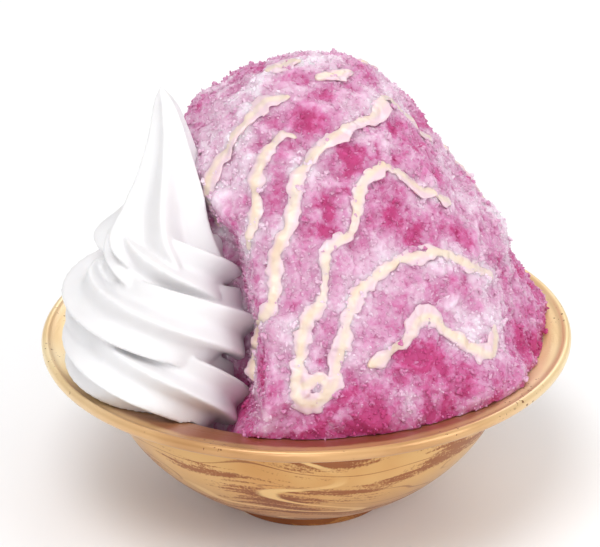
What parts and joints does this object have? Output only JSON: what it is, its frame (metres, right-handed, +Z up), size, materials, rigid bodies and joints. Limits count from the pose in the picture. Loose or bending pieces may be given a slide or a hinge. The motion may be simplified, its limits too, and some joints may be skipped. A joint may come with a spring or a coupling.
{
  "type": "shaved ice dessert",
  "caption": "Footed bowl with a broad brim, heaped with syruped shaved ice under a cream drizzle, with a soft-serve swirl leaning on the heap.",
  "frame": {"origin": "on the bowl's axis, at the level of the underside of its foot", "axes": "+Z up along the bowl's axis, -Y towards the front, where the drizzle's zigzags face, +X to the right, away from the swirl"},
  "size_m": [0.1698, 0.1698, 0.149],
  "materials": {
    "bowl_glaze": "satin gold-brown glaze laid on in broad brush strokes, worn lighter along the lip",
    "syruped_ice": "damp shaved ice, magenta where the syrup soaked in and pale lilac between, with cream drizzle on top",
    "soft_serve_cream": "smooth white soft serve with a soft sheen"
  },
  "bodies": {
    "root": {"bowl": "bowl_glaze", "shaved_ice": "syruped_ice", "soft_serve": "soft_serve_cream"}
  },
  "joints": []
}
